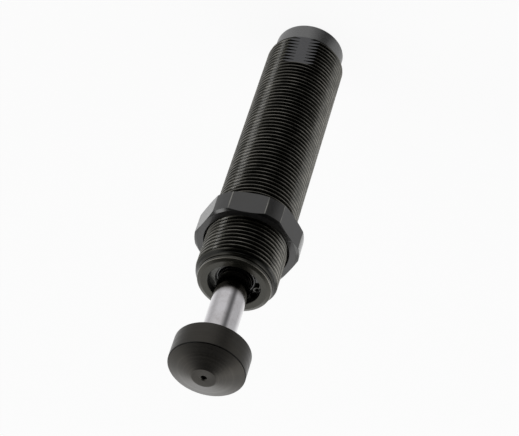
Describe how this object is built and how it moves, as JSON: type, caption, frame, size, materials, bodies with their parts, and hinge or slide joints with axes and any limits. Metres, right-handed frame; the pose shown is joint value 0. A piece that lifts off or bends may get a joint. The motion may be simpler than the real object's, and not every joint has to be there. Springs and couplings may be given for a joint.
{
  "type": "industrial shock absorber",
  "caption": "Threaded cylindrical shock absorber with a lock nut, a chromed piston rod under a button cap, and a hydraulic cartridge with a return spring inside.",
  "frame": {"origin": "centre of the rear face of the body, on the axis", "axes": "+Z along the axis from the rear face to the button cap; the two wrench flats and two flats of the lock nut face +Y and -Y"},
  "size_m": [0.032, 0.03, 0.1439],
  "materials": {
    "body_steel": "black nitrided steel, satin",
    "nut_steel": "black oxide steel, satin",
    "chrome": "hard chrome, ground and polished",
    "cap_steel": "black oxide steel, turned",
    "circlip_steel": "phosphated spring steel",
    "seal_rubber": "black nitrile rubber",
    "seal_polyurethane": "dark blue-grey polyurethane",
    "backup_plastic": "off-white PTFE",
    "bronze": "sintered bronze",
    "foam": "closed-cell elastomer foam",
    "machined_steel": "turned and ground steel",
    "spring_steel": "drawn spring steel wire",
    "screw_steel": "blackened steel",
    "ball_steel": "polished bearing steel"
  },
  "bodies": {
    "housing": {"body_tube": "body_steel", "front_circlip": "circlip_steel", "wiper_seal": "seal_rubber", "gland": "machined_steel", "guide_bush": "bronze", "rod_seal": "seal_polyurethane", "backup_ring": "backup_plastic", "gland_o_ring": "seal_rubber", "accumulator_cage": "machined_steel", "accumulator_foam": "foam", "rod_guide": "machined_steel", "pressure_tube": "machined_steel", "return_spring": "spring_steel", "rear_plug": "machined_steel", "rear_o_ring": "seal_rubber", "rear_circlip": "circlip_steel", "fill_ball": "ball_steel", "fill_screw": "screw_steel"},
    "spring_seat": {"spring_seat": "machined_steel"},
    "rod": {"piston_rod": "chrome", "button_cap": "cap_steel", "piston": "machined_steel", "piston_plate": "machined_steel", "piston_nut": "machined_steel"},
    "check_ring": {"check_ring": "bronze"},
    "lock_nut": {"lock_nut": "nut_steel"}
  },
  "joints": [
    {"name": "rod_slide", "type": "slide", "parent": "housing", "child": "spring_seat", "axis": [0, 0, -1], "range_m": [0, 0.025], "stiffness_N_per_m": 800, "springref_m": -0.0125, "deforming": ["return_spring"]},
    {"name": "rod_turn", "type": "hinge", "parent": "spring_seat", "child": "rod", "pos_m": [0, 0, 0.12], "axis": [0, 0, 1], "continuous": true},
    {"name": "check_ring_play", "type": "slide", "parent": "rod", "child": "check_ring", "axis": [0, 0, 1], "range_m": [0, 0.0004]},
    {"name": "nut_travel", "type": "slide", "parent": "housing", "child": "lock_nut", "axis": [0, 0, 1], "range_m": [-0.0762, 0.0125]}
  ]
}
